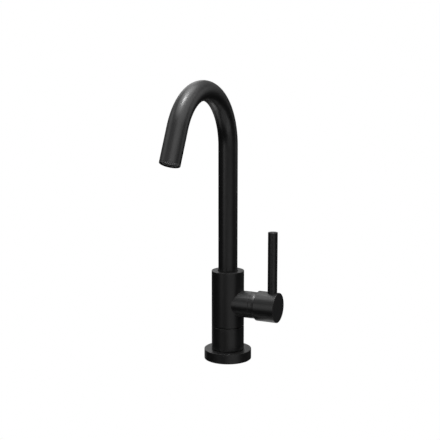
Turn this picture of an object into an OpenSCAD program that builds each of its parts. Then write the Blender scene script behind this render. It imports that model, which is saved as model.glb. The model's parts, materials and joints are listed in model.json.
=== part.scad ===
// Side-lever basin mixer: a swivelling gooseneck spout, and a lever on a branch at the side.
// Millimetres. +Z is up from the deck, the spout points along -Y and the branch along +X.

/* [Base] */
// Outside diameter of the base flange
flange_d = 52.5; // [50:0.5:60]
// Height of the base flange above the deck
flange_h = 10.8; // [9:0.2:14]
// Width of the flange's foot ring on the deck
flange_rim = 4.5; // [4:0.1:6]
// Thickness of the flange's top plate
flange_plate = 3.6; // [2.5:0.1:4.5]
// Wall of the sleeve that stands round the core inside the flange
flange_sleeve_wall = 2; // [1.4:0.1:2.6]
// Bevel round the flange's top edge
flange_bevel = 0.5; // [0.2:0.1:1]
// Width of the rubber ring under the flange
gasket_w = 2.1; // [1.6:0.1:2.6]
// Thickness of the rubber ring under the flange
gasket_h = 1.6; // [1:0.1:2.4]

/* [Body] */
// Outside diameter of the body and of the collar under it
body_d = 36; // [35.5:0.5:40]
// Height of the body's top face above the deck
body_top = 100; // [98:1:120]
// Height of the top edge of the collar
seam_z = 37.1; // [28:0.5:42]
// Height of the dark seam between the collar and the body
seam_gap = 0.8; // [0.5:0.1:1.4]
// Depth of the seam
seam_depth = 0.7; // [0.4:0.1:1.2]
// How much narrower the core inside the collar is than the body, on the radius
core_step = 3; // [2.6:0.1:3.4]
// Gap between the deck and the foot of the core
core_foot = 1; // [0.5:0.1:2]
// Radial gap between the core and what slides over it
sleeve_gap = 0.15; // [0.1:0.05:0.3]
// Thickness of the collar's O-ring
collar_ring_t = 1.7; // [1.4:0.1:2.2]
// Bevel on the outside edges of the body, the collar and the branch
edge_bevel = 0.4; // [0.2:0.1:0.8]

/* [Water ways] */
// Distance from each inlet to the body's axis
inlet_offset = 6.5; // [6.3:0.1:7.5]
// Bore of the inlet threads, for M10 x 1 hoses
inlet_thread_d = 9; // [8.6:0.1:9.4]
// Depth of the inlet threads
inlet_thread_l = 12; // [10:1:16]
// Bore of the ways that carry hot and cold water up to the cartridge
inlet_way_d = 4.8; // [4.4:0.1:5.2]
// Bore of the way that carries mixed water up from the cartridge
mixed_way_d = 5.6; // [5.2:0.1:6.2]
// Bore of the chamber under the spout
mixed_chamber_d = 10; // [7:0.5:12]
// Distance from each stud hole to the body's axis
stud_offset = 9.8; // [9.4:0.1:10.6]
// Bore of the stud holes, for M6 studs
stud_hole_d = 5; // [4.6:0.1:5.4]
// Depth of the stud holes
stud_hole_l = 14; // [10:1:18]

/* [Spout] */
// Outside diameter of the spout tube
tube_d = 21.2; // [20.4:0.2:24]
// Wall of the spout tube
tube_wall = 1.3; // [1.1:0.1:1.8]
// Height at which the straight tube starts to bend
spring_z = 237.7; // [200:1:280]
// Radius of the bend at the middle of the tube
arch_r = 60.7; // [48:0.5:76]
// Lean of the outlet leg away from upright, in degrees
outlet_lean = 25.3; // [5:0.5:35]
// Length of the straight outlet leg
outlet_leg = 37.7; // [24:0.5:60]
// Bevel round the outside of the outlet
outlet_bevel = 0.4; // [0.2:0.1:0.6]

/* [Spout swivel] */
// Radial gap round the tube where it enters the body
socket_gap = 0.5; // [0.3:0.1:0.8]
// Depth of the socket in the top of the body
socket_depth = 20; // [19.5:0.5:21]
// Thickness of the slip washer on the floor of the socket
slip_washer_t = 1; // [0.6:0.1:1.5]
// Height of the turned adapter below the tube
adapter_h = 15; // [14.5:0.1:16]
// Height of the adapter's spigot inside the tube
spigot_h = 8; // [5:0.5:12]
// Wall of the adapter at its spigot
adapter_wall = 1.6; // [1.2:0.1:1.8]
// Running clearance between the adapter and the socket
swivel_clearance = 0.08; // [0.04:0.01:0.1]
// Thickness of the spout's O-rings
spout_ring_t = 1.5; // [1.2:0.1:1.6]
// Thread diameter of the grub screw that keeps the spout in its socket
spout_screw_d = 5; // [4:0.5:5.5]

/* [Aerator] */
// How far the aerator lies inside the end of the tube
aerator_inset = 0.9; // [0.4:0.1:1.6]
// How far the end of the tube is bored out for the aerator's thread
outlet_recess = 0.3; // [0.2:0.05:0.4]
// Length of the aerator's housing
aerator_h = 9; // [8:0.5:12]
// Wall of the aerator's housing behind its thread
aerator_wall = 1.9; // [1.7:0.1:2.2]
// How much narrower the aerator's nose is than its thread, on the radius
nose_step = 0.9; // [0.6:0.1:1.1]
// Length of the aerator's nose
nose_l = 2.4; // [1.8:0.1:3]
// Number of notches for the key that turns the aerator
notch_count = 12; // [8:1:16]
// Width of each notch
notch_w = 1.6; // [1:0.1:2]
// Depth of each notch
notch_depth = 0.9; // [0.5:0.1:1.4]
// Distance between neighbouring cells of the honeycomb
cell_pitch = 2.1; // [1.8:0.1:2.6]
// Wall between neighbouring cells
cell_wall = 0.4; // [0.3:0.05:0.6]
// Thickness of the honeycomb
honeycomb_t = 3; // [2:0.5:3.5]

/* [Branch] */
// Height of the branch's axis above the deck
branch_z = 63.8; // [62:0.2:66]
// Outside diameter of the branch
branch_d = 29.3; // [29.1:0.1:31]
// Distance from the body's axis to the mouth of the branch
branch_reach = 30.2; // [30:0.2:36]
// Outside diameter of the bonnet
bonnet_d = 29.2; // [29:0.1:29.6]
// Gap between the mouth of the branch and the bonnet
bonnet_gap = 0.2; // [0.1:0.1:0.8]
// Straight length of the bonnet before its dome
bonnet_skirt = 3; // [2.2:0.1:3.4]
// Wall of the bonnet's dome
bonnet_wall = 1.2; // [1:0.1:1.5]
// Diameter of the hole in the dome for the spindle
bonnet_hole_d = 20.4; // [20:0.2:21]

/* [Cartridge] */
// Outside diameter of the cartridge
cartridge_d = 25; // [24.8:0.1:25.2]
// Radial gap round the cartridge in its bore
cartridge_gap = 0.1; // [0.05:0.05:0.15]
// Wall of the cartridge casing
casing_wall = 1.5; // [1.3:0.1:1.6]
// Depth of the cartridge's seat from the mouth of the branch
seat_depth = 17.9; // [17.5:0.1:18.5]
// Thickness of the cartridge's port plate
port_plate_t = 3; // [2.6:0.1:3.4]
// Distance from each inlet port to the upright plane through the branch's axis
port_spread = 5.8; // [5.6:0.1:6]
// Bore of the two inlet ports
inlet_port_d = 4; // [3.4:0.1:4.1]
// Bore of the outlet port
outlet_port_d = 5; // [4.4:0.1:5.1]
// Thickness of the seals between the cartridge and its seat
seal_t = 1.2; // [1:0.1:1.3]
// Thickness of each ceramic disc
disc_t = 3.5; // [3:0.1:4]
// Depth of the mixing pocket in the sliding disc
pocket_depth = 1.8; // [1.2:0.1:2.2]
// Thickness of the carrier behind the sliding disc
carrier_t = 3.2; // [3:0.1:3.6]
// Height of the carrier's guide tongue
tongue_t = 1.6; // [1.2:0.1:1.8]
// Width of the carrier's guide tongue
tongue_w = 9; // [8.4:0.2:9.4]
// Diameter of the rotor's neck
rotor_d = 17; // [16.6:0.2:17.2]
// Thickness of the rotor's flange
rotor_flange_t = 3; // [2.8:0.1:3.2]
// Running clearance round the rotor, its pin and its slot
rotor_clearance = 0.08; // [0.04:0.01:0.1]
// Distance from the casing's inner shoulder to the pivot pin
pivot_lead = 3.6; // [3.6:0.1:4]
// Diameter of the pivot pin
pin_d = 3; // [2.4:0.1:3.2]
// Distance from the pivot pin to the ball that drives the carrier
ball_arm = 7.5; // [7.4:0.05:7.7]
// Diameter of the driving ball
ball_d = 4.4; // [4:0.1:4.6]
// Diameter of the arm between the pivot and the ball
arm_d = 2.6; // [2.2:0.1:2.8]
// How far the lever tilts outwards, in degrees
tilt_max = 25; // [18:1:25]
// How far the lever turns to each side for hot and cold, in degrees
turn_max = 45; // [30:1:50]

/* [Handle] */
// Outside diameter of the handle hub
hub_d = 32.9; // [32.4:0.1:36]
// Gap between the mouth of the branch and the back of the hub
hub_gap = 6.7; // [6.5:0.1:7.2]
// Length of the hub
hub_l = 23.5; // [23:0.1:27]
// Radius of the rounded edge at the end of the hub
hub_round = 0.9; // [0.4:0.1:1.4]
// Gap between the bonnet's dome and the hollow back of the hub
dome_gap = 0.6; // [0.5:0.05:0.8]
// Width of the spindle's square bar
spindle_sq = 7; // [6.4:0.1:7]
// Length of the spindle beyond its pivot
spindle_l = 22.5; // [21.5:0.5:23.5]
// Diameter of the lever rod
lever_d = 10.3; // [8:0.1:11]
// Height of the top of the lever above the branch's axis
lever_top = 82.8; // [60:0.2:110]
// Distance from the lever's axis to the end of the hub
lever_inset = 7; // [6.5:0.1:7.4]
// Depth to which the lever rod sinks into the hub
lever_sink = 3; // [2.6:0.1:3.6]
// Bevel round the top of the lever rod
lever_bevel = 0.5; // [0.2:0.1:1.2]
// Diameter of the threaded stud on the lever rod
lever_stud_d = 6; // [5:0.5:6]
// Length of the threaded stud on the lever rod
lever_stud_l = 6; // [4:0.5:7]
// Thread diameter of the grub screw that holds the hub on the spindle
hub_screw_d = 5; // [4:0.5:5]

/* [Hidden] */
$fn = 96;

// Colours
black_metal = [0.09, 0.09, 0.095];
black_plastic = [0.16, 0.16, 0.17];
grey_plastic = [0.55, 0.55, 0.56];
rubber = [0.22, 0.22, 0.22];
brass = [0.78, 0.63, 0.36];
steel = [0.72, 0.73, 0.75];
acetal = [0.92, 0.91, 0.88];
ceramic = [0.97, 0.96, 0.93];

// Clearances that several pieces share
cut = 1;            // how far a cutting tool runs past the face that it opens
thread_gap = 0.05;  // radial gap between a screw and its hole, both drawn without their thread
seat_gap = 0.05;    // gap round a fixed piece in the seat that holds it
rest_gap = 0.05;    // gap between a moving piece and the face that it rests on
tip_gap = 0.3;      // gap between the tip of a grub screw and the bottom of its groove

// Base and body
body_r = body_d / 2;
core_r = body_r - core_step;
sleeve_r = core_r + sleeve_gap;
flange_r = flange_d / 2;
flange_hollow_r = flange_r - flange_rim;
flange_ceiling = flange_h - flange_plate;
gasket_r = flange_r - flange_rim / 2 + gasket_w / 2;
seam_top = seam_z + seam_gap;
collar_ring_z = (flange_h + seam_z) / 2;
collar_ring_r = sleeve_r - seat_gap - collar_ring_t / 2;
collar_groove_r = collar_ring_r - collar_ring_t / 2 - seat_gap;
ring_groove_side = 0.3;  // play beside an O-ring in its groove

// Spout and its swivel
tube_r = tube_d / 2;
tube_bore_r = tube_r - tube_wall;
socket_r = tube_r + socket_gap;
socket_floor = body_top - socket_depth;
adapter_r = socket_r - swivel_clearance;
adapter_foot = socket_floor + slip_washer_t + rest_gap;
adapter_lead = 0.5;
tube_foot = adapter_foot + adapter_h;
spigot_r = tube_bore_r - seat_gap;
adapter_bore_r = spigot_r - adapter_wall;
spout_ring_r = socket_r - rest_gap - spout_ring_t / 2;
spout_groove_r = spout_ring_r - spout_ring_t / 2 - seat_gap;
spout_groove_w = spout_ring_t + 2 * ring_groove_side;
ring_land = 1.3;
spout_ring_pitch = spout_groove_w + ring_land;
spout_ring_zs = [for (i = [1:2]) adapter_foot + i * spout_ring_pitch - spout_groove_w / 2];
spout_screw_r = spout_screw_d / 2;
screw_tip_r = spout_screw_r - 1;
screw_tip_l = 1.2;
screw_inset = 0.8;
screw_groove_r = socket_r - screw_tip_l - tip_gap;
screw_groove_w = 2 * (screw_tip_r + tip_gap);
spout_screw_z = spout_ring_zs[1] + spout_groove_w / 2 + ring_land + screw_groove_w / 2;
key_size = 2.5;   // across the flats of both grub screws' hexagon sockets
key_depth = 2.2;
lap = 0.6;        // how far the outlet leg laps over the end of the bend
lap_step = 0.04;  // how much wider the leg is, on the radius, so that the lap is a clean joint
arch_sweep = 180 - outlet_lean;
arch_end = [0, -arch_r * (1 + cos(outlet_lean)), spring_z + arch_r * sin(outlet_lean)];
outlet_end = arch_end - outlet_leg * [0, sin(outlet_lean), cos(outlet_lean)];

// Aerator, measured back up the tube from its end
outlet_bore_r = tube_bore_r + outlet_recess;
housing_r = outlet_bore_r - thread_gap;
housing_bore_r = housing_r - aerator_wall;
housing_back = aerator_inset + aerator_h;
nose_r = housing_r - nose_step;
lip_t = 0.9;
lip_r = housing_bore_r - 0.8;
honeycomb_face = aerator_inset + lip_t;
honeycomb_r = housing_bore_r - seat_gap;
honeycomb_rim = 0.6;
screen_face = honeycomb_face + honeycomb_t;
screen_t = 1;
screen_hole_d = 1.2;
washer_t = 1.5;
cell_rows = 6;
cell_spots = [
  for (i = [-cell_rows:cell_rows], j = [-cell_rows:cell_rows])
  let (spot = cell_pitch * [i + j / 2, j * sin(60)])
  if (norm(spot) + cell_pitch / 2 <= honeycomb_r - honeycomb_rim) spot
];

// Cartridge: stations along the branch's axis, from the seat outwards
branch_r = branch_d / 2;
cartridge_r = cartridge_d / 2;
cartridge_bore_r = cartridge_r + cartridge_gap;
nut_hole_r = cartridge_bore_r + 0.6;
nut_r = nut_hole_r - thread_gap;
flange_play = 0.2;  // play on each side of the rotor's flange
seat_x = branch_reach - seat_depth;
fixed_disc_x = seat_x + port_plate_t;
sliding_disc_x = fixed_disc_x + disc_t;
carrier_x = sliding_disc_x + disc_t;
tongue_x = carrier_x + carrier_t;
rotor_x = tongue_x + flange_play;
neck_x = rotor_x + rotor_flange_t;
casing_face_x = neck_x + flange_play / 2;
pivot_x = casing_face_x + pivot_lead;
casing_step_x = tongue_x + flange_play / 2;
casing_ledge_x = casing_step_x + casing_wall;
casing_shoulder_x = casing_face_x + casing_wall;
rotor_end_x = pivot_x + 4.5;

// Cartridge: radii
casing_bore_r = cartridge_r - casing_wall;
rotor_r = rotor_d / 2;
rotor_flange_r = rotor_r + 0.9;
rotor_bore_r = rotor_flange_r + 0.5;
casing_mid_r = rotor_bore_r + casing_wall;
neck_bore_r = rotor_r + rotor_clearance;
neck_r = neck_bore_r + 1.6;
nut_bore_r = casing_mid_r + seat_gap;
stop_r = rotor_r + 0.25;
stop_arc = 14;
stop_play = 2;  // degrees of spare turn before the rotor meets its stop
travel = ball_arm * sin(tilt_max);
slide_rest = -travel / 2;
sliding_disc_r = casing_bore_r - travel / 2 - 0.2;
pocket_r = sliding_disc_r - 1.2;
pocket_top = 1.3;
pocket_foot = -5.6;
tongue_l = 13;
tongue_play = rotor_clearance;
ball_r = ball_d / 2;
ball_gap = 0.25;
ball_x = pivot_x - ball_arm;
drive_w = 2.4;   // width of the lugs and ribs that keep the discs from turning
drive_depth = 0.9;
drive_gap = 0.1;

// Cartridge: ports, as [up, sideways] from the branch's axis
inlet_port_up = 2.2;
outlet_port_up = -3.8;
inlet_ports = [[inlet_port_up, -port_spread], [inlet_port_up, port_spread]];
outlet_port = [outlet_port_up, 0];
locating_pegs = [[-5.6, -6.9], [-5.6, 6.9]];
peg_r = 1.1;
peg_l = 1.6;
inlet_port_r = inlet_port_d / 2;
outlet_port_r = outlet_port_d / 2;
seal_land = 0.35;
ports = [
  [inlet_ports[0], inlet_port_r],
  [inlet_ports[1], inlet_port_r],
  [outlet_port, outlet_port_r]
];

// Rotor, pin and spindle
pin_r = pin_d / 2;
pin_half = rotor_r - 0.2;
eye_r = spindle_sq / 2 + 0.05;
slot_w = spindle_sq + 2 * rotor_clearance;
slot_r = eye_r + rotor_clearance;
rotor_ring_t = 1.4;
rotor_ring_r = neck_bore_r - rest_gap - rotor_ring_t / 2;
rotor_groove_r = rotor_ring_r - rotor_ring_t / 2 - seat_gap;
rotor_groove_w = rotor_ring_t + ring_groove_side;
rotor_ring_x = neck_x + 0.35 + rotor_groove_w / 2;
passage_up = travel + ball_r + ball_gap;
passage_side = ball_r + ball_gap;

// Bonnet: a skirt, then a dome about the pivot; the handle hub tilts round the dome
bonnet_r = bonnet_d / 2;
bonnet_x = branch_reach + bonnet_gap;
dome_x = bonnet_x + bonnet_skirt;
dome_r = norm([bonnet_r, dome_x - pivot_x]);
bonnet_hole_r = bonnet_hole_d / 2;
nut_end_x = dome_x - seat_gap;
nut_key_count = 6;
nut_key_w = 3;
nut_key_depth = 1.6;
hub_r = hub_d / 2;
hub_x = branch_reach + hub_gap;
hub_end_x = hub_x + hub_l;
hub_hollow_r = dome_r + dome_gap;
hub_socket = spindle_sq + 2 * seat_gap;
hub_socket_end_x = pivot_x + spindle_l + 0.2;
hub_screw_r = hub_screw_d / 2;
hub_screw_x = pivot_x + hub_hollow_r + 1 + hub_screw_r;
lever_r = lever_d / 2;
lever_x = hub_end_x - lever_inset;
lever_foot = hub_r - lever_sink;
lever_stud_r = lever_stud_d / 2;

// A solid turned from an outline of [radius, height] points
module turned(outline) {
  rotate_extrude() polygon(outline);
}

module ring(outer_r, inner_r, low, high) {
  turned([[inner_r, low], [outer_r, low], [outer_r, high], [inner_r, high]]);
}

module peg(radius, low, high) {
  translate([0, 0, low]) cylinder(r = radius, h = high - low);
}

module o_ring(mid_r, thickness, height) {
  translate([0, 0, height]) rotate_extrude() translate([mid_r, 0]) circle(d = thickness, $fn = 32);
}

// A groove round a shaft of the given radius
module groove(shaft_r, groove_r, width, height) {
  ring(shaft_r + cut, groove_r, height - width / 2, height + width / 2);
}

// Part of a ring, swept by an angle and centred on the -Y side
module ring_sector(outer_r, inner_r, low, high, arc) {
  rotate([0, 0, -90 - arc / 2]) rotate_extrude(angle = arc)
    translate([inner_r, low]) square([outer_r - inner_r, high - low]);
}

// Stands an upright shape on the branch's axis: its height runs along +X and its +X points up
module on_branch() {
  translate([0, 0, branch_z]) rotate([0, 90, 0]) rotate([0, 0, 180]) children();
}

// Puts an upright shape in the outlet leg: its height runs back up the tube from the tube's end
module at_outlet() {
  translate(outlet_end) rotate([-outlet_lean, 0, 0]) children();
}

// Thickens a drawing in the plane in which the lever tilts: x runs out from the pivot, y runs up
module tilt_plate(width) {
  translate([pivot_x, 0, branch_z]) rotate([90, 0, 0]) linear_extrude(width, center = true) children();
}

// A grub screw that stands on its tip, with a hexagon socket in its head
module grub_screw(radius, tip_radius, tip, length) {
  difference() {
    turned([
      [0, 0], [tip_radius, 0], [tip_radius, tip], [radius, tip],
      [radius, length - 0.3], [radius - 0.3, length], [0, length]
    ]);
    translate([0, 0, length - key_depth]) cylinder(d = key_size / cos(30), h = key_depth + cut, $fn = 6);
  }
}

// Base

module base_flange() {
  color(black_metal) difference() {
    turned([
      [sleeve_r, core_foot], [sleeve_r + flange_sleeve_wall, core_foot],
      [sleeve_r + flange_sleeve_wall, flange_ceiling], [flange_hollow_r, flange_ceiling],
      [flange_hollow_r, 0], [flange_r, 0], [flange_r, flange_h - flange_bevel],
      [flange_r - flange_bevel, flange_h], [sleeve_r, flange_h]
    ]);
    ring(gasket_r + seat_gap, gasket_r - gasket_w - seat_gap, -cut, gasket_h);
  }
}

module flange_gasket() {
  color(rubber) ring(gasket_r, gasket_r - gasket_w, 0, gasket_h);
}

module base_collar() {
  color(black_metal) turned([
    [sleeve_r, flange_h], [body_r, flange_h], [body_r, seam_z - edge_bevel],
    [body_r - edge_bevel, seam_z], [sleeve_r, seam_z]
  ]);
}

module collar_o_ring() {
  color(rubber) o_ring(collar_ring_r, collar_ring_t, collar_ring_z);
}

// Body

module body_blank() {
  turned([
    [0, core_foot], [core_r, core_foot], [core_r, seam_z], [body_r - seam_depth, seam_z],
    [body_r - seam_depth, seam_top], [body_r - edge_bevel, seam_top], [body_r, seam_top + edge_bevel],
    [body_r, body_top - edge_bevel], [body_r - edge_bevel, body_top], [0, body_top]
  ]);
  on_branch() turned([
    [0, 0], [branch_r, 0], [branch_r, branch_reach - edge_bevel],
    [branch_r - edge_bevel, branch_reach], [0, branch_reach]
  ]);
}

// Hot and cold come up on either side and run out to the cartridge
module inlet_ways() {
  way_r = inlet_way_d / 2;
  for (side = [-1, 1]) translate([0, side * inlet_offset, 0]) {
    peg(inlet_thread_d / 2, core_foot - cut, core_foot + inlet_thread_l);
    peg(way_r, core_foot + inlet_thread_l - cut, branch_z + inlet_port_up + way_r);
  }
  on_branch() for (port = inlet_ports) translate(port) peg(inlet_port_r, 0, seat_x + cut);
}

// Mixed water runs back from the cartridge and up the middle to the spout
module mixed_way() {
  chamber_foot = branch_z + inlet_port_up + inlet_way_d / 2 + 2;
  on_branch() translate(outlet_port) peg(outlet_port_r, 0, seat_x + cut);
  peg(mixed_way_d / 2, branch_z + outlet_port_up - mixed_way_d / 2, chamber_foot + cut);
  peg(mixed_chamber_d / 2, chamber_foot, socket_floor + cut);
}

module mixer_body() {
  color(black_metal) difference() {
    body_blank();
    groove(core_r, collar_groove_r, collar_ring_t + 2 * ring_groove_side, collar_ring_z);
    peg(socket_r, socket_floor, body_top + cut);
    translate([0, 0, spout_screw_z]) rotate([-90, 0, 0])
      peg(spout_screw_r + thread_gap, socket_r - 2 * cut, body_r + cut);
    for (side = [-1, 1]) translate([side * stud_offset, 0, 0])
      peg(stud_hole_d / 2, core_foot - cut, core_foot + stud_hole_l);
    inlet_ways();
    mixed_way();
    on_branch() {
      peg(cartridge_bore_r, seat_x, branch_reach + cut);
      peg(nut_hole_r, casing_ledge_x - cut, branch_reach + cut);
      for (spot = locating_pegs) translate(spot)
        peg(peg_r + seat_gap, seat_x - peg_l - seat_gap, seat_x + cut);
    }
  }
}

// Spout and its swivel

module spout_grub_screw() {
  color(steel) translate([0, socket_r - screw_tip_l, spout_screw_z]) rotate([-90, 0, 0])
    grub_screw(spout_screw_r, screw_tip_r, screw_tip_l, body_r - screw_inset - socket_r + screw_tip_l);
}

module spout_slip_washer() {
  color(acetal) ring(socket_r - seat_gap, adapter_bore_r, socket_floor, socket_floor + slip_washer_t);
}

module spout_adapter() {
  color(brass) difference() {
    turned([
      [adapter_bore_r, adapter_foot], [adapter_r - adapter_lead, adapter_foot],
      [adapter_r, adapter_foot + adapter_lead], [adapter_r, tube_foot], [spigot_r, tube_foot],
      [spigot_r, tube_foot + spigot_h], [adapter_bore_r, tube_foot + spigot_h]
    ]);
    for (z = spout_ring_zs) groove(adapter_r, spout_groove_r, spout_groove_w, z);
    groove(adapter_r, screw_groove_r, screw_groove_w, spout_screw_z);
  }
}

module spout_o_rings() {
  color(rubber) for (z = spout_ring_zs) o_ring(spout_ring_r, spout_ring_t, z);
}

// A round bar along the spout: straight up, round the bend, and down the outlet leg
module spout_run(radius, over) {
  peg(radius, tube_foot - over, spring_z);
  translate([0, -arch_r, spring_z]) rotate([90, 0, 90])
    rotate_extrude(angle = arch_sweep) translate([arch_r, 0]) circle(r = radius);
  at_outlet() peg(radius + lap_step, -over, outlet_leg + lap);
}

module spout_tube() {
  bevel_in_r = tube_r - outlet_bevel - cut;
  color(black_metal) difference() {
    spout_run(tube_r, 0);
    spout_run(tube_bore_r, cut);
    at_outlet() peg(outlet_bore_r, -cut, housing_back + washer_t);
    at_outlet() turned([[bevel_in_r, -cut], [tube_r + cut, -cut], [tube_r + cut, outlet_bevel + cut]]);
  }
}

// Aerator

module aerator_housing() {
  color(black_plastic) at_outlet() difference() {
    turned([
      [lip_r, aerator_inset], [nose_r, aerator_inset], [nose_r, aerator_inset + nose_l],
      [housing_r, aerator_inset + nose_l], [housing_r, housing_back], [housing_bore_r, housing_back],
      [housing_bore_r, honeycomb_face], [lip_r, honeycomb_face]
    ]);
    for (i = [1:notch_count]) rotate([0, 0, i * 360 / notch_count])
      translate([housing_bore_r, -notch_w / 2, aerator_inset - cut])
        cube([nose_r - housing_bore_r + cut, notch_w, notch_depth + cut]);
  }
}

// A disc with a hole of the given diameter and number of sides at each cell
module cell_plate(thickness, hole_d, sides) {
  linear_extrude(thickness) difference() {
    circle(r = honeycomb_r);
    for (spot = cell_spots) translate(spot) rotate(30) circle(d = hole_d, $fn = sides);
  }
}

module aerator_honeycomb() {
  cell_d = (cell_pitch - cell_wall) / cos(30);
  color(grey_plastic) at_outlet() translate([0, 0, honeycomb_face]) cell_plate(honeycomb_t, cell_d, 6);
}

module aerator_screen() {
  color(steel) at_outlet() translate([0, 0, screen_face]) cell_plate(screen_t, screen_hole_d, 24);
}

module aerator_washer() {
  color(rubber) at_outlet() ring(housing_r, housing_bore_r, housing_back, housing_back + washer_t);
}

// Cartridge

module cartridge_port_seals() {
  color(rubber) on_branch() for (port = ports) translate(port[0])
    o_ring(port[1] + seal_land + seal_t / 2 + seat_gap, seal_t, seat_x + seal_t / 2);
}

module cartridge_base() {
  rib_slot_r = casing_bore_r - drive_depth - drive_gap;
  color(grey_plastic) on_branch() {
    difference() {
      peg(casing_bore_r - seat_gap, seat_x, fixed_disc_x);
      for (port = ports) translate(port[0]) {
        seal_groove_r = port[1] + seal_land;
        peg(port[1], seat_x - cut, fixed_disc_x + cut);
        ring(seal_groove_r + seal_t + 2 * seat_gap, seal_groove_r, seat_x - cut, seat_x + seal_t);
      }
      rib_slots(rib_slot_r, seat_x - cut, fixed_disc_x + cut);
    }
    for (spot = locating_pegs) translate(spot) peg(peg_r, seat_x - peg_l, seat_x + cut);
  }
}

// Slots at the top and the bottom of a disc, which the casing's ribs run in
module rib_slots(from_r, low, high) {
  slot = drive_w + 2 * drive_gap;
  for (turn = [0, 180]) rotate([0, 0, turn]) translate([from_r, -slot / 2, low])
    cube([casing_bore_r - from_r + cut, slot, high - low]);
}

module cartridge_casing() {
  color(black_plastic) on_branch() {
    turned([
      [casing_bore_r, seat_x], [cartridge_r, seat_x], [cartridge_r, casing_ledge_x],
      [casing_mid_r, casing_ledge_x], [casing_mid_r, casing_shoulder_x], [neck_r, casing_shoulder_x],
      [neck_r, rotor_end_x], [neck_bore_r, rotor_end_x], [neck_bore_r, casing_face_x],
      [rotor_bore_r, casing_face_x], [rotor_bore_r, casing_step_x], [casing_bore_r, casing_step_x]
    ]);
    for (turn = [0, 180]) rotate([0, 0, turn])
      translate([casing_bore_r - drive_depth, -drive_w / 2, seat_x])
        cube([drive_depth + casing_wall / 2, drive_w, sliding_disc_x - drive_gap - seat_x]);
    ring_sector(
      rotor_bore_r + casing_wall / 2, stop_r, casing_step_x, casing_face_x + casing_wall / 2, stop_arc
    );
  }
}

module fixed_ceramic_disc() {
  color(ceramic) on_branch() difference() {
    peg(casing_bore_r - seat_gap, fixed_disc_x, sliding_disc_x);
    for (port = ports) translate(port[0]) peg(port[1], fixed_disc_x - cut, sliding_disc_x + cut);
    rib_slots(casing_bore_r - drive_depth - drive_gap, fixed_disc_x - cut, sliding_disc_x + cut);
  }
}

// The sliding disc and its carrier lie below the axis when the lever is upright, and rise as it tilts
module on_slide() {
  on_branch() translate([slide_rest, 0, 0]) children();
}

// Lugs on the carrier grip the sliding disc from both sides
module drive_lugs(gap, low, high) {
  lug = drive_w + 2 * gap;
  for (turn = [90, 270]) rotate([0, 0, turn])
    translate([sliding_disc_r - drive_depth - gap, -lug / 2, low])
      cube([drive_depth + 2 * gap, lug, high - low]);
}

module sliding_ceramic_disc() {
  color(ceramic) on_slide() difference() {
    peg(sliding_disc_r, sliding_disc_x, carrier_x);
    translate([0, 0, sliding_disc_x - cut]) linear_extrude(pocket_depth + cut) intersection() {
      circle(r = pocket_r);
      translate([pocket_foot, -pocket_r]) square([pocket_top - pocket_foot, 2 * pocket_r]);
    }
    drive_lugs(drive_gap, carrier_x - pocket_depth / 2 - drive_gap, carrier_x + cut);
  }
}

module disc_carrier() {
  color(acetal) difference() {
    on_slide() {
      peg(sliding_disc_r, carrier_x, tongue_x);
      drive_lugs(0, carrier_x - pocket_depth / 2, carrier_x + cut);
      translate([-tongue_l / 2, -tongue_w / 2, carrier_x + cut])
        cube([tongue_l, tongue_w, carrier_t + tongue_t - cut]);
    }
    on_branch() peg(ball_r + ball_gap, carrier_x - cut, tongue_x + tongue_t + cut);
  }
}

module cartridge_rotor() {
  groove_top = tongue_x + tongue_t + flange_play;
  groove_half = tongue_w / 2 + tongue_play;
  slot_run = rotor_end_x - pivot_x + cut;
  color(black_plastic) difference() {
    on_branch() difference() {
      turned([
        [0, rotor_x], [rotor_flange_r, rotor_x], [rotor_flange_r, neck_x], [rotor_r, neck_x],
        [rotor_r, rotor_end_x], [0, rotor_end_x]
      ]);
      groove(rotor_r, rotor_groove_r, rotor_groove_w, rotor_ring_x);
      ring_sector(
        rotor_flange_r + cut, rotor_r + 0.1, rotor_x - cut, neck_x + 0.1,
        2 * turn_max + stop_arc + 2 * stop_play
      );
      translate([-rotor_flange_r - cut, -groove_half, rotor_x - cut])
        cube([2 * (rotor_flange_r + cut), 2 * groove_half, groove_top - rotor_x + cut]);
      translate([-passage_up, -passage_side, rotor_x])
        cube([2 * passage_up, 2 * passage_side, pivot_x - rotor_x - slot_r / 2]);
    }
    tilt_plate(slot_w) {
      circle(r = slot_r);
      polygon([
        [-1, -slot_half(-1)], [slot_run, -slot_half(slot_run)],
        [slot_run, slot_half(slot_run)], [-1, slot_half(-1)]
      ]);
    }
    tilt_plate(2 * (rotor_r + cut)) circle(r = pin_r + seat_gap / 2);
  }
}

// Half the height of the rotor's slot at a distance out from the pivot, for the spindle at full tilt
function slot_half(out) = (eye_r + 2 * rotor_clearance) / cos(tilt_max) + out * tan(tilt_max);

module rotor_o_ring() {
  color(rubber) on_branch() o_ring(rotor_ring_r, rotor_ring_t, rotor_ring_x);
}

module pivot_pin() {
  color(steel) tilt_plate(2 * pin_half) circle(r = pin_r);
}

module cartridge_nut() {
  color(brass) on_branch() difference() {
    ring(nut_r, nut_bore_r, casing_ledge_x, nut_end_x);
    for (i = [1:nut_key_count / 2]) rotate([0, 0, i * 360 / nut_key_count])
      translate([-nut_r - cut, -nut_key_w / 2, nut_end_x - nut_key_depth])
        cube([2 * (nut_r + cut), nut_key_w, nut_key_depth + cut]);
  }
}

// Half of the bonnet's section, filled: the skirt below, and above it a dome about the pivot
module bonnet_section(skirt_r, foot, dome) {
  translate([0, foot]) square([skirt_r, dome_x - foot]);
  intersection() {
    translate([0, pivot_x]) circle(r = dome);
    translate([0, dome_x]) square([dome, dome + pivot_x - dome_x]);
  }
}

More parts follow.
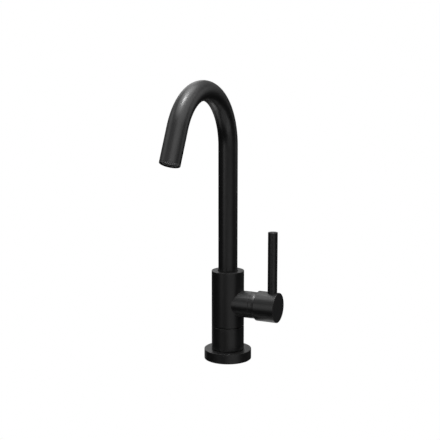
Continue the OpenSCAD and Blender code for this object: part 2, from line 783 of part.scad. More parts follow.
module bonnet() {
  color(black_metal) on_branch() difference() {
    rotate_extrude() difference() {
      bonnet_section(bonnet_r, bonnet_x, dome_r);
      bonnet_section(nut_hole_r, bonnet_x - cut, dome_r - bonnet_wall);
      translate([0, bonnet_x]) square([bonnet_hole_r, dome_r + pivot_x]);
    }
    turned([
      [bonnet_r - edge_bevel - cut, bonnet_x - cut], [bonnet_r + cut, bonnet_x - cut],
      [bonnet_r + cut, bonnet_x + edge_bevel + cut]
    ]);
  }
}

// Handle

module lever_spindle() {
  color(brass) union() {
    difference() {
      tilt_plate(spindle_sq) {
        circle(r = eye_r);
        translate([0, -spindle_sq / 2]) square([spindle_l, spindle_sq]);
      }
      tilt_plate(spindle_sq + 2 * cut) circle(r = pin_r + rotor_clearance);
    }
    on_branch() peg(arm_d / 2, ball_x, pivot_x - (pin_r + eye_r) / 2);
    on_branch() translate([0, 0, ball_x]) sphere(r = ball_r);
  }
}

// The rounded edge at the end of the hub, as points of [radius, height]
function hub_edge() = [
  for (a = [0:15:90]) [hub_r, hub_end_x] + hub_round * [cos(a) - 1, sin(a) - 1]
];

module handle_hub() {
  socket_foot = pivot_x + hub_hollow_r / 2;
  color(black_metal) difference() {
    on_branch() rotate_extrude() difference() {
      polygon(concat(
        [[0, hub_x], [hub_r - edge_bevel, hub_x], [hub_r, hub_x + edge_bevel]], hub_edge(), [[0, hub_end_x]]
      ));
      translate([0, pivot_x]) circle(r = hub_hollow_r);
    }
    translate([socket_foot, -hub_socket / 2, branch_z - hub_socket / 2])
      cube([hub_socket_end_x - socket_foot, hub_socket, hub_socket]);
    translate([lever_x, 0, branch_z]) {
      peg(lever_r + seat_gap, lever_foot, hub_r + cut);
      peg(lever_stud_r + thread_gap, lever_foot - lever_stud_l - seat_gap, hub_r);
    }
    translate([hub_screw_x, 0, branch_z]) rotate([180, 0, 0]) peg(hub_screw_r + thread_gap, 0, hub_r + cut);
  }
}

module lever_rod() {
  color(black_metal) translate([lever_x, 0, branch_z]) turned([
    [0, lever_foot - lever_stud_l], [lever_stud_r, lever_foot - lever_stud_l], [lever_stud_r, lever_foot],
    [lever_r, lever_foot], [lever_r, lever_top - lever_bevel], [lever_r - lever_bevel, lever_top],
    [0, lever_top]
  ]);
}

module handle_grub_screw() {
  tip_z = spindle_sq / 2 + seat_gap;
  color(steel) translate([hub_screw_x, 0, branch_z - tip_z]) rotate([180, 0, 0])
    grub_screw(hub_screw_r, hub_screw_r - 1, 1, hub_r - screw_inset - tip_z);
}

base_flange();
flange_gasket();
base_collar();
collar_o_ring();
mixer_body();
spout_grub_screw();
spout_slip_washer();
spout_adapter();
spout_o_rings();
spout_tube();
aerator_housing();
aerator_honeycomb();
aerator_screen();
aerator_washer();
cartridge_port_seals();
cartridge_base();
cartridge_casing();
fixed_ceramic_disc();
sliding_ceramic_disc();
disc_carrier();
cartridge_rotor();
rotor_o_ring();
pivot_pin();
cartridge_nut();
bonnet();
lever_spindle();
handle_hub();
lever_rod();
handle_grub_screw();
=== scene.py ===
# %% [markdown]
# # A side-lever basin mixer in satin black
#
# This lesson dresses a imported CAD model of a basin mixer: a tall bent spout that swivels, a body with
# a short branch at its side, and a thin lever that turns and tilts on that branch. The CAD model says
# where everything is and how it moves. The lesson gives the visible pieces finer skins and finishes,
# and photographs them.
#
# Blender works in metres, with +Z up. The spout points towards -Y and the branch towards +X.

import json

import bpy
import numpy as np
from mathutils import Euler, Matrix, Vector
from mathutils.geometry import delaunay_2d_cdt


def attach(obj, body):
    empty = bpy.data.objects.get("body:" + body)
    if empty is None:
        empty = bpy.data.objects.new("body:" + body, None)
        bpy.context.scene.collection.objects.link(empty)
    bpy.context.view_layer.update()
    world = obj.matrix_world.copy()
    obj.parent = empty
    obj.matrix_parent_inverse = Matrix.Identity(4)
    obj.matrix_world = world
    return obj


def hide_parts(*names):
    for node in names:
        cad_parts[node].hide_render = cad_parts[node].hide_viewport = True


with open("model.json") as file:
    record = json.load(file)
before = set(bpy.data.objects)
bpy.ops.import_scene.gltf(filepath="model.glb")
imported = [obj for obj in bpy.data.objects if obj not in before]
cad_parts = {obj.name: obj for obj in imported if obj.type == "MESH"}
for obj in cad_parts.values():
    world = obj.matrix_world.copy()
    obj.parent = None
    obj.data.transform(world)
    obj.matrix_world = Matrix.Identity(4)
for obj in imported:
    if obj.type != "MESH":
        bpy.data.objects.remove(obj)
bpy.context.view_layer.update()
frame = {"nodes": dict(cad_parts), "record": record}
nodes = frame["nodes"]

# %% [markdown]
# ## The camera
#
# The picture was taken with a long lens, from a little above the mixer and to the right of the spout.
# A long lens keeps upright edges nearly parallel, which suits a catalogue picture. The camera looks
# down by about nine degrees, so the flat tops of the body and the base show as thin ellipses.

# %% Set up the camera
def make_camera():
    lens = bpy.data.cameras.new("camera")
    lens.lens = 75
    lens.sensor_width = 36
    lens.clip_start = 0.01
    camera = bpy.data.objects.new("camera", lens)
    camera.location = (0.4220, -0.8993, 0.3191)
    camera.rotation_euler = Euler(np.radians((80.70, 0, 25.643)))
    bpy.context.scene.collection.objects.link(camera)
    bpy.context.scene.camera = camera
    return camera


camera = make_camera()
print("camera at", tuple(round(v, 3) for v in camera.location))

# %% [markdown]
# ## Effects that several finishes share
#
# Three small node groups do the work of a painter. The first gives the fine pebbled skin of a baked
# coating, which is too fine to model. The second lightens the rounded edges a little: partly as worn
# finish, where hands and cloths rub them, and partly as a painted highlight along those edges. The
# third lets a trace of dust lie on what faces up. Each puts out plain values, and each material
# decides how strongly it uses them.

# %% Helpers for node trees
def new_group(name, inputs, outputs):
    """A node group with named inputs, as (label, kind, value), and named outputs, as (label, kind)."""
    group = bpy.data.node_groups.new(name, "ShaderNodeTree")
    for label, kind, value in inputs:
        group.interface.new_socket(label, in_out="INPUT", socket_type=kind).default_value = value
    for label, kind in outputs:
        group.interface.new_socket(label, in_out="OUTPUT", socket_type=kind)
    return group, group.nodes.new("NodeGroupInput"), group.nodes.new("NodeGroupOutput")


def add_node(tree, kind, values=(), links=(), **settings):
    """Adds a node, sets its properties, its unlinked inputs and its links, and returns it."""
    node = tree.nodes.new(kind)
    for name, value in settings.items():
        setattr(node, name, value)
    for socket, value in dict(values).items():
        node.inputs[socket].default_value = value
    for socket, source in dict(links).items():
        tree.links.new(source, node.inputs[socket])
    return node


def object_noise(tree, scale_socket=None, scale=1.0, detail=2.0, roughness=0.5):
    """Noise on Object coordinates, so that it stays with the piece and has a real size in metres."""
    where = add_node(tree, "ShaderNodeTexCoord").outputs["Object"]
    values = {"Detail": detail, "Roughness": roughness}
    links = {"Vector": where}
    if scale_socket:
        links["Scale"] = scale_socket
    else:
        values["Scale"] = scale
    return add_node(tree, "ShaderNodeTexNoise", values, links).outputs["Fac"]


def ranged(tree, source, low, high, to_low=0.0, to_high=1.0):
    """Maps a span of a value to another span, and holds it at the ends."""
    values = {"From Min": low, "From Max": high, "To Min": to_low, "To Max": to_high}
    return add_node(tree, "ShaderNodeMapRange", values, {"Value": source}).outputs["Result"]


def maths(tree, operation, first, second):
    """A sum, difference or product of two inputs, each of them a number or another node's output."""
    node = add_node(tree, "ShaderNodeMath", operation=operation)
    for socket, value in zip(node.inputs, (first, second)):
        if isinstance(value, (int, float)):
            socket.default_value = value
        else:
            tree.links.new(value, socket)
    return node.outputs[0]

# %% Build the shared effects
PATCH_SCALE = 45.0


def make_coating_group():
    """Two sizes of noise: pebbles for the bump, and broad soft patches for gloss and tone."""
    group, inputs, outputs = new_group(
        "baked coating",
        [("Pebble Scale", "NodeSocketFloat", 1400.0), ("Patch Scale", "NodeSocketFloat", PATCH_SCALE)],
        [("Pebbles", "NodeSocketFloat"), ("Patches", "NodeSocketFloat")],
    )
    pebbles = object_noise(group, inputs.outputs["Pebble Scale"], detail=1.0)
    patches = object_noise(group, inputs.outputs["Patch Scale"], detail=4.0, roughness=0.6)
    group.links.new(pebbles, outputs.inputs["Pebbles"])
    group.links.new(ranged(group, patches, 0.3, 0.7), outputs.inputs["Patches"])
    return group


def make_edge_group():
    """Lighter where the skin's edge value is high, as worn finish and as a painted edge highlight, broken
    up by noise so that it isn't even.
    """
    group, inputs, outputs = new_group(
        "worn edges with painted highlight", [("Amount", "NodeSocketFloat", 0.5)], [("Worn Highlight", "NodeSocketFloat")]
    )
    # the lighter edge is partly worn finish and partly a painted highlight along the rounded edges
    edge = add_node(group, "ShaderNodeAttribute", attribute_name="edge").outputs["Fac"]
    broken = ranged(group, object_noise(group, scale=160.0, detail=5.0, roughness=0.65), 0.35, 0.65)
    worn_highlight = maths(group, "MULTIPLY", maths(group, "MULTIPLY", edge, broken), inputs.outputs["Amount"])
    group.links.new(worn_highlight, outputs.inputs["Worn Highlight"])
    return group


def make_dust_group():
    """How far the surface faces up, from 0 where it is steep to 1 where it is level, times fine noise."""
    group, inputs, outputs = new_group(
        "settled dust", [("Amount", "NodeSocketFloat", 0.5)], [("Dust", "NodeSocketFloat")]
    )
    facing = add_node(group, "ShaderNodeNewGeometry").outputs["Normal"]
    up = add_node(group, "ShaderNodeSeparateXYZ", links={"Vector": facing}).outputs["Z"]
    lying = ranged(group, up, 0.55, 1.0)
    specks = ranged(group, object_noise(group, scale=900.0, detail=3.0), 0.45, 0.7)
    dust = maths(group, "MULTIPLY", maths(group, "MULTIPLY", lying, specks), inputs.outputs["Amount"])
    group.links.new(dust, outputs.inputs["Dust"])
    return group


COATING, EDGES, DUST = make_coating_group(), make_edge_group(), make_dust_group()
print("effects:", ", ".join(group.name for group in (COATING, EDGES, DUST)))

# %% [markdown]
# ## Finishes
#
# The black is a satin coating over brass. Next to a white background it's easy to make it too light
# or too glossy: its own colour returns less than a hundredth of the light, and almost all that the eye
# sees is the soft reflection of the lamps. The pieces that stay hidden get the finishes they'd have
# on the bench: machined brass, steel, moulded plastic, rubber and ground ceramic.

# %% Helpers for materials
def principled(name):
    """A material with one Principled shader, its texture groups still to come."""
    material = bpy.data.materials.new(name)
    material.use_nodes = True
    tree = material.node_tree
    return material, tree, tree.nodes["Principled BSDF"]


def group_node(tree, group, **values):
    """Places a shared effect in a material, with this material's own values."""
    node = tree.nodes.new("ShaderNodeGroup")
    node.node_tree = group
    for label, value in values.items():
        node.inputs[label.replace("_", " ")].default_value = value
    return node


def blend_colours(tree, mask, first, second):
    """The first colour where the mask is 0, the second where it is 1. Each is a colour or an output."""
    node = add_node(tree, "ShaderNodeMix", data_type="RGBA")
    tree.links.new(mask, node.inputs["Factor"])
    for socket, value in zip((s for s in node.inputs if s.type == "RGBA"), (first, second)):
        if isinstance(value, tuple):
            socket.default_value = (*value, 1)
        else:
            tree.links.new(value, socket)
    return next(s for s in node.outputs if s.type == "RGBA")

# %% Mix the finishes
DUST_TONE, RUBBED_SMOOTHER, DUST_ROUGHER = (0.25, 0.24, 0.23), 0.08, 0.3


def make_finish(
    name, dark, light, roughness, pebble, pebble_depth, worn_highlight=None, worn_highlight_amount=0.0, dust=0.0, metallic=0.0
):
    """A finish: two tones in soft patches, pebbles as bump, lighter edges (worn finish and a painted
    highlight) and a little dust.

    roughness is a pair, for the two tones. pebble is the noise's scale, and pebble_depth is in metres.
    Everything that is the same all over is set on the shader.
    """
    material, tree, shader = principled(name)
    shader.inputs["Metallic"].default_value = metallic
    shader.inputs["IOR"].default_value = 1.5
    coating = group_node(tree, COATING, Pebble_Scale=pebble, Patch_Scale=PATCH_SCALE)
    colour = blend_colours(tree, coating.outputs["Patches"], dark, light)
    gloss = ranged(tree, coating.outputs["Patches"], 0.0, 1.0, *roughness)
    # lighter rounded edges: worn finish, and a painted highlight along them
    if worn_highlight:
        edges = group_node(tree, EDGES, Amount=worn_highlight_amount).outputs["Worn Highlight"]
        colour = blend_colours(tree, edges, colour, worn_highlight)
        gloss = maths(tree, "SUBTRACT", gloss, maths(tree, "MULTIPLY", edges, RUBBED_SMOOTHER))
    if dust:
        lying = group_node(tree, DUST, Amount=dust).outputs["Dust"]
        colour = blend_colours(tree, lying, colour, DUST_TONE)
        gloss = maths(tree, "ADD", gloss, maths(tree, "MULTIPLY", lying, DUST_ROUGHER))
    tree.links.new(colour, shader.inputs["Base Color"])
    tree.links.new(gloss, shader.inputs["Roughness"])
    depth = {"Strength": 1.0, "Distance": pebble_depth}
    bump = add_node(tree, "ShaderNodeBump", depth, {"Height": coating.outputs["Pebbles"]})
    tree.links.new(bump.outputs["Normal"], shader.inputs["Normal"])
    return material


FINISHES = {
    "black_finish": make_finish(
        "satin black", (0.0051, 0.0051, 0.0053), (0.0059, 0.0059, 0.0061), (0.33, 0.337), 1500, 0.000005,
        # the edge tone stands for worn finish and a painted edge highlight
        worn_highlight=(0.03, 0.03, 0.03), worn_highlight_amount=0.1, dust=0.001,
    ),
    "rubber": make_finish(
        "black rubber", (0.018, 0.018, 0.018), (0.028, 0.027, 0.026), (0.62, 0.75), 900, 0.00003, dust=0.05
    ),
    "black_plastic": make_finish(
        "moulded black plastic", (0.02, 0.02, 0.021), (0.026, 0.026, 0.027), (0.42, 0.5), 1800, 0.00001
    ),
    "grey_plastic": make_finish(
        "moulded grey plastic", (0.22, 0.22, 0.225), (0.27, 0.27, 0.27), (0.45, 0.55), 1800, 0.00001
    ),
    "brass": make_finish(
        "turned brass", (0.62, 0.44, 0.2), (0.72, 0.54, 0.27), (0.24, 0.34), 700, 0.000006, metallic=1.0
    ),
    "steel": make_finish(
        "stainless steel", (0.5, 0.5, 0.51), (0.6, 0.6, 0.6), (0.26, 0.36), 700, 0.000006, metallic=1.0
    ),
    "acetal": make_finish(
        "white acetal", (0.76, 0.75, 0.71), (0.82, 0.81, 0.77), (0.38, 0.46), 1600, 0.000008
    ),
    "ceramic": make_finish(
        "lapped ceramic", (0.8, 0.79, 0.75), (0.86, 0.85, 0.81), (0.12, 0.2), 2500, 0.000002
    ),
}
for part in frame["record"]["subparts"]:
    mesh = nodes[part["node"]].data
    mesh.materials.clear()
    mesh.materials.append(FINISHES[part["material_slot"]])
print("finishes:", ", ".join(material.name for material in FINISHES.values()))

# %% [markdown]
# ## The studio
#
# Where the camera looks at the floor or past it, all is pure white, as on a catalogue page. That white
# isn't what lights the mixer. A black satin surface shows nothing but what it mirrors, so the lights
# are chosen for their mirror images: each lamp becomes one soft band, and dark stays dark between
# them. The floor is seen by the camera alone, because the real mixer seems to have stood on a lit
# glass table, and some of the lamps are under it.
#
# The lamps stand five metres away, so every part of the mixer mirrors them alike. A strip at the left
# and a low bank in front draw the two upright bands on the body and the tube. The lamps below the
# table lighten the undersides of the hub and the bend, and those high on the right lighten the upper
# side of the branch. The lamps behind light the flat tops, which the camera sees at a glancing angle,
# and one small lamp overhead makes the long highlight on the bend.

# %% Choose the lamps
SKY = [  # (how far up, from level to straight up, brightness)
    (0.0, 0.007), (0.15, 0.15), (0.34, 0.305), (0.5, 0.16), (0.64, 0.6), (0.8, 0.18), (0.92, 3.46),
    (1.0, 1.26),
]
LAMP_AWAY, LAMPS_FACE = 5.0, Vector((0, -0.03, 0.16))  # metres, and the middle of the mixer
LAMPS = {  # name: (azimuth, elevation, span in degrees, power)
    "left strip": (-22, 6, (20, 35), 18.5),
    "front, level with the table": (0, -5, (25, 8), 4.7),
    "front, under the table": (45, -12, (60, 15), 13.9),
    "lower front": (60, -40, (50, 25), 33.5),
    "below": (60, -72, (60, 30), 28.5),
    "upper right": (75, 32, (60, 15), 34.2),
    "high right": (75, 50, (90, 20), 75.0),
    "right strip": (135, 12, (30, 30), 13.7),
    "far right, level with the table": (150, -10, (20, 20), 0.6),
    "behind": (-140, 30, (30, 30), 22.2),
    "under, behind": (-165, -60, (40, 30), 12.8),
    "low behind": (-125, -30, (25, 25), 4.5),
    "high behind": (180, 65, (60, 25), 37.4),
    "upper left": (-75, 33, (40, 20), 18.6),
    "under, at the left": (-110, -60, (70, 25), 32.7),
    "overhead": (29, 88, (13, 13), 147.3),
}
print("lamps:", ", ".join(LAMPS))

# %% Light the studio
def ramp(tree, source, stops):
    """A grey ramp through (place, level) stops."""
    node = add_node(tree, "ShaderNodeValToRGB", links={"Fac": source})
    points = node.color_ramp.elements
    while len(points) < len(stops):
        points.new(1.0)
    for point, (place, level) in zip(points, stops):
        point.position = place
        point.color = (level, level, level, 1)
    return node.outputs["Color"]


def make_floor():
    """A white sheet that glows just enough to be white, and that nothing but the camera sees."""
    half = 6
    mesh = bpy.data.meshes.new("floor")
    corners = [(-half, -half, 0), (half, -half, 0), (half, half, 0), (-half, half, 0)]
    mesh.from_pydata(corners, [], [(0, 1, 2, 3)])
    floor = bpy.data.objects.new("floor", mesh)
    bpy.context.scene.collection.objects.link(floor)
    material, _, shader = principled("studio floor")
    shader.inputs["Base Color"].default_value = (0, 0, 0, 1)
    shader.inputs["Specular IOR Level"].default_value = 0.0
    shader.inputs["Emission Color"].default_value = (1, 1, 1, 1)
    shader.inputs["Emission Strength"].default_value = 1.0
    mesh.materials.append(material)
    floor.visible_diffuse = floor.visible_glossy = floor.visible_transmission = False
    floor.visible_shadow = False


def make_world():
    """White to the camera, and to every other ray a grey that depends on how far up it points."""
    world = bpy.data.worlds.new("studio")
    bpy.context.scene.world = world
    world.use_nodes = True
    tree = world.node_tree
    background = tree.nodes["Background"]
    background.inputs["Color"].default_value = (1, 1, 1, 1)
    towards = add_node(tree, "ShaderNodeTexCoord").outputs["Generated"]
    up = add_node(tree, "ShaderNodeSeparateXYZ", links={"Vector": towards}).outputs["Z"]
    seen = add_node(tree, "ShaderNodeLightPath").outputs["Is Camera Ray"]
    level = add_node(tree, "ShaderNodeMix", data_type="RGBA", links={"Factor": seen})
    sky, white = (socket for socket in level.inputs if socket.type == "RGBA")
    tree.links.new(ramp(tree, up, SKY), sky)
    white.default_value = (1, 1, 1, 1)
    tree.links.new(next(s for s in level.outputs if s.type == "RGBA"), background.inputs["Strength"])


def make_lamp(name, azimuth, elevation, span, power):
    """A soft lamp that faces the mixer and fills a span of degrees. Azimuth runs from -Y to +X.

    Its sides are twice its distance times the tangent of half the span.
    """
    lamp = bpy.data.lights.new(name, "AREA")
    lamp.shape = "RECTANGLE"
    lamp.size, lamp.size_y = 2 * LAMP_AWAY * np.tan(np.radians(span) / 2)
    lamp.energy = power
    holder = bpy.data.objects.new(name, lamp)
    around, above = np.radians((azimuth, elevation))
    aim = Vector((np.sin(around) * np.cos(above), -np.cos(around) * np.cos(above), np.sin(above)))
    holder.location = LAMPS_FACE + LAMP_AWAY * aim
    holder.rotation_euler = aim.to_track_quat("Z", "Y").to_euler()
    holder.visible_camera = False
    bpy.context.scene.collection.objects.link(holder)


make_floor()
make_world()
for name, (azimuth, elevation, span, power) in LAMPS.items():
    make_lamp(name, azimuth, elevation, span, power)
bpy.context.scene.view_settings.view_transform = "Standard"
print("studio:", len(LAMPS), "lamps,", LAMP_AWAY, "m away")

# %% [markdown]
# ## A skin from patches
#
# Every new piece is a closed skin made of patches. A patch is a grid of points, worked out as one
# array, with the exact direction that the surface faces at each point. Where two patches meet, their
# border points are the same, so merging equal points closes the skin. Each face keeps the directions
# of its own patch, and so a rounded edge of half a millimetre still catches the light as it should.
#
# Points are given in millimetres, which are easier to read, and become metres at the end.

# %% Collect patches into one skin
MM = 0.001


class Skin:
    """A closed surface, gathered patch by patch, in millimetres."""

    def __init__(self):
        self.points, self.facing, self.edge, self.triangles, self.count = [], [], [], [], 0

    def add(self, points, facing, edge, triangles):
        """Takes points, which way the skin faces there, how strongly its edge is marked there (worn finish
        and a painted edge highlight), and triangles.
        """
        self.points.append(points.reshape(-1, 3))
        self.facing.append(np.broadcast_to(facing, points.shape).reshape(-1, 3))
        self.edge.append(np.broadcast_to(edge, points.shape[:-1]).reshape(-1))
        self.triangles.append(triangles + self.count)
        self.count += len(self.points[-1])

    def grid(self, points, facing, edge=0.0):
        """Rows x columns of points. Each square of four neighbours gives two triangles."""
        rows, columns = points.shape[:2]
        spot = np.arange(rows * columns).reshape(rows, columns)
        a, b, c, d = spot[:-1, :-1], spot[:-1, 1:], spot[1:, 1:], spot[1:, :-1]
        self.add(points, facing, edge, np.stack([a, b, c, a, c, d], -1).reshape(-1, 3))

# %% Make one piece from a skin
def make_piece(skin, name, body, slot, replaces):
    """Merges equal points, drops empty triangles, turns every face outwards and makes the object.

    Points are equal within one step of a ten-thousandth of a millimetre. The steps have an odd start,
    so that no drawn value sits on the border of two of them.
    """
    odd_start, steps_per_mm = 0.0131719, 1e4
    points, facing = np.concatenate(skin.points), np.concatenate(skin.facing)
    triangles, edge = np.concatenate(skin.triangles), np.concatenate(skin.edge)
    rough = np.round((points + odd_start) * steps_per_mm)
    _, first, spot = np.unique(rough, axis=0, return_index=True, return_inverse=True)
    corners = spot.reshape(-1)[triangles]
    whole = (corners != np.roll(corners, 1, axis=1)).all(1)
    corners, triangles = corners[whole], triangles[whole]
    a, b, c = (points[first][corners[:, i]] for i in range(3))
    inwards = (np.cross(b - a, c - a) * facing[triangles].sum(1)).sum(1) < 0
    corners[inwards] = corners[inwards, ::-1]
    triangles[inwards] = triangles[inwards, ::-1]
    mesh = bpy.data.meshes.new(name)
    mesh.vertices.add(len(first))
    mesh.vertices.foreach_set("co", (points[first] * MM).ravel())
    mesh.loops.add(corners.size)
    mesh.loops.foreach_set("vertex_index", corners.ravel())
    mesh.polygons.add(len(corners))
    mesh.polygons.foreach_set("loop_start", np.arange(0, corners.size, 3))
    mesh.update(calc_edges=True)
    # the edge mark, for worn finish and a painted edge highlight, goes on the mesh as the attribute edge
    scuff_and_highlight = np.zeros(len(first))
    np.maximum.at(scuff_and_highlight, spot.reshape(-1), edge)
    mesh.attributes.new("edge", "FLOAT", "POINT").data.foreach_set("value", scuff_and_highlight)
    mesh.shade_smooth()
    mesh.normals_split_custom_set(facing[triangles.ravel()])
    mesh.materials.append(FINISHES[slot])
    piece = bpy.data.objects.new(name, mesh)
    bpy.context.scene.collection.objects.link(piece)
    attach(piece, body)
    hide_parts(*replaces)
    ends = np.sort(np.stack([corners, np.roll(corners, -1, axis=1)], -1).reshape(-1, 2), axis=1)
    shared = np.unique(ends, axis=0, return_counts=True)[1]
    print(f"{name}: {len(corners)} triangles, {int((shared != 2).sum())} open edges")

# %% [markdown]
# ## Outlines with rounded corners
#
# Turned parts are cut on a lathe, so one outline of [radius, height] points describes each of them.
# No real corner is perfectly sharp: the turner breaks it, and the finish rounds it a little more.
# Each corner therefore becomes a small arc. Where points lie along a curve, a large radius makes the
# arcs meet in the middle of each side, and the curve comes out smooth.

# %% Round the corners of an outline
TINY = 1e-6


def rounded(corners, radius, steps=5, closed=True):
    """Gives points, facing directions and edge marks (worn finish and a painted highlight) along an
    outline that runs anticlockwise.

    Each arc starts one tangent length before its corner, which is the radius times the tangent of half
    the turn, and at most half a side. The facing directions turn evenly along the arc. Small arcs on
    corners that stick out are marked as worn, which also paints a light highlight along them. An open
    outline keeps its two ends as they are.
    """
    corners = np.asarray(corners, float)
    radius = np.broadcast_to(np.asarray(radius, float), len(corners))
    arriving, leaving = corners - np.roll(corners, 1, axis=0), np.roll(corners, -1, axis=0) - corners
    arriving_l, leaving_l = np.linalg.norm(arriving, axis=1), np.linalg.norm(leaving, axis=1)
    arriving, leaving = arriving / arriving_l[:, None], leaving / leaving_l[:, None]
    cross = arriving[:, 0] * leaving[:, 1] - arriving[:, 1] * leaving[:, 0]
    turn = np.arctan2(cross, (arriving * leaving).sum(1))
    turn = np.where(np.abs(turn) < TINY, TINY, turn)
    half = np.tan(np.abs(turn) / 2)
    tangent = np.minimum(radius * half, 0.5 * np.minimum(arriving_l, leaving_l))
    arc_r = (tangent / half)[:, None, None]
    side = np.sign(turn)[:, None, None]
    start = (corners - arriving * tangent[:, None])[:, None]
    outwards = np.stack([arriving[:, 1], -arriving[:, 0]], -1)[:, None]
    angle = turn[:, None] * np.linspace(0, 1, steps)
    c, s = np.cos(angle), np.sin(angle)
    out_r, out_z = outwards[..., 0], outwards[..., 1]
    facing = np.stack([c * out_r - s * out_z, s * out_r + c * out_z], -1)
    points = start - side * arc_r * outwards + side * arc_r * facing
    # corners that stick out get the edge mark: worn finish and a painted highlight
    least_turn, curve_r = 0.5, 2
    worn_highlight = np.where((turn > least_turn) & (radius < curve_r), np.minimum(turn, 1.0), 0.0)
    scuff_and_highlight = np.broadcast_to(worn_highlight[:, None], angle.shape)
    points, facing, scuff_and_highlight = points.reshape(-1, 2), facing.reshape(-1, 2), scuff_and_highlight.reshape(-1)
    if closed:
        return tuple(np.concatenate([v, v[:1]]) for v in (points, facing, scuff_and_highlight))
    inner = slice(steps, -steps)
    first, last = facing[steps], facing[-steps - 1]
    return (
        np.concatenate([corners[:1], points[inner], corners[-1:]]),
        np.concatenate([[first], facing[inner], [last]]),
        np.concatenate([[0], scuff_and_highlight[inner], [0]]),
    )


def divided(outline, longest):
    """Splits each side that is longer than the given length into equal shorter ones."""
    points, facing, scuff_and_highlight = outline
    lengths = np.linalg.norm(np.diff(points, axis=0), axis=1)
    parts = np.maximum(1, np.ceil(lengths / longest)).astype(int)
    side = np.repeat(np.arange(len(parts)), parts)
    along = (np.arange(len(side)) - np.repeat(np.cumsum(parts) - parts, parts)) / parts[side]

    def mix(values):
        share = along.reshape(-1, *[1] * (values.ndim - 1))
        between = values[side] + (values[side + 1] - values[side]) * share
        return np.concatenate([between, values[-1:]])

    return mix(points), mix(facing), mix(scuff_and_highlight)

# %% [markdown]
# ## Turning an outline
#
# A place is an origin with three directions: two across the axis and one along it. The same outline
# can then stand on the deck, lie along the branch, or sit in the slanting end of the spout.

# %% Turn outlines on an axis
class Place:
    """An origin and three directions, in millimetres: across, sideways, and along the axis."""

    def __init__(self, origin, across, side, along):
        self.origin, self.across = np.array(origin, float), np.array(across, float)
        self.side, self.along = np.array(side, float), np.array(along, float)

    def rim(self, angle):
        """The direction straight out from the axis at each angle."""
        angle = np.asarray(angle)[..., None]
        return np.cos(angle) * self.across + np.sin(angle) * self.side

    def point(self, radius, angle, height):
        """Origin + radius x direction out from the axis + height x direction along it."""
        radius, height = np.asarray(radius)[..., None], np.asarray(height)[..., None]
        return self.origin + radius * self.rim(angle) + height * self.along


def turn_on(skin, place, outline, angles):
    """Carries an outline round an axis: every point of it goes to every angle."""
    points, facing, scuff_and_highlight = outline
    angle = np.asarray(angles)[None]
    placed = place.point(points[:, :1], angle, points[:, 1:])
    towards = facing[:, :1, None] * place.rim(angle) + facing[:, 1:, None] * place.along
    skin.grid(placed, towards, scuff_and_highlight[:, None])


def full_turn(count):
    """The angles of a full turn in equal steps, first and last at the same place."""
    return np.radians(np.arange(count + 1) * 360 / count)


BRANCH_Z = 63.8
DECK = Place((0, 0, 0), (1, 0, 0), (0, 1, 0), (0, 0, 1))
BRANCH = Place((0, 0, BRANCH_Z), (0, 0, 1), (0, 1, 0), (1, 0, 0))
STEPS = 192
QUARTER = STEPS // 4
ROUND = full_turn(STEPS)
print("places: the deck's axis, and the branch's axis at", BRANCH_Z, "mm")

# %% [markdown]
# ## The spout
#
# The spout is one length of brass tube. A mandrel holds its bore open while a roller bends it, so it
# stays round all the way. It could be a curve with a bevel, but a curve has no wall, and its ends are
# plain. Here an outline of the wall, as [radius, distance along the tube], is carried along the tube's
# middle line: up, round the bend, and down the slanting leg. Each ring stands square to that line.

# %% The spout's middle line
TUBE_FOOT, SPRING_Z, ARCH_R = 96.05, 237.7, 60.7
LEAN = np.radians(25.3)
RISE = SPRING_Z - TUBE_FOOT
BEND = ARCH_R * (np.pi - LEAN)
LEG = 37.7
SPOUT_L = RISE + BEND + LEG
TUBE_R, TUBE_BORE_R, OUTLET_BORE_R = 10.6, 9.3, 9.6


def middle_line(distance):
    """Middle points and directions at distances from the tube's foot.

    The bend is part of a circle about (0, -arch radius, spring height), at angle a from the straight
    tube: centre + arch radius x (cos a, sin a). The straight lengths run on from its two ends.
    """
    distance = np.asarray(distance, float)
    angle = np.clip((distance - RISE) / ARCH_R, 0, np.pi - LEAN)
    forward, up = np.cos(angle), np.sin(angle)
    direction = np.stack([0 * angle, -up, forward], -1)
    point = np.stack([0 * angle, ARCH_R * (forward - 1), SPRING_Z + ARCH_R * up], -1)
    before = np.maximum(RISE - distance, 0)[..., None] * np.array([0, 0, 1.0])
    after = np.maximum(distance - RISE - BEND, 0)[..., None] * direction
    return point - before + after, direction


def carry_along(skin, outline, angles):
    """Sweeps an outline of [radius, distance] points along the middle line of the spout.

    A point is the middle at its distance + its radius x (cos a x sideways + sin a x outwards).
    """
    points, facing, scuff_and_highlight = outline
    middle, direction = middle_line(points[:, 1])
    sideways = np.array([1.0, 0, 0])
    outwards = np.cross(direction, sideways)
    rim = np.cos(angles)[None, :, None] * sideways + np.sin(angles)[None, :, None] * outwards[:, None]
    placed = middle[:, None] + points[:, :1, None] * rim
    towards = facing[:, :1, None] * rim + facing[:, 1:, None] * direction[:, None]
    skin.grid(placed, towards, scuff_and_highlight[:, None])


print(f"the tube is {SPOUT_L:.1f} mm long, and {BEND:.1f} mm of that is bend")

# %% The spout's skin
def make_spout():
    """The wall of the tube, with a wider recess in its outlet for the aerator."""
    recess, ring_gap = 11.4, 2.2
    corners = [
        (TUBE_BORE_R, 0), (TUBE_R, 0), (TUBE_R, SPOUT_L), (OUTLET_BORE_R, SPOUT_L),
        (OUTLET_BORE_R, SPOUT_L - recess), (TUBE_BORE_R, SPOUT_L - recess),
    ]
    skin = Skin()
    outline = divided(rounded(corners, [0.1, 0.3, 0.2, 0.12, 0.1, 0.1]), ring_gap)
    carry_along(skin, outline, full_turn(128))
    make_piece(skin, "gooseneck", "spout", "black_finish", ["spout_tube"])


make_spout()

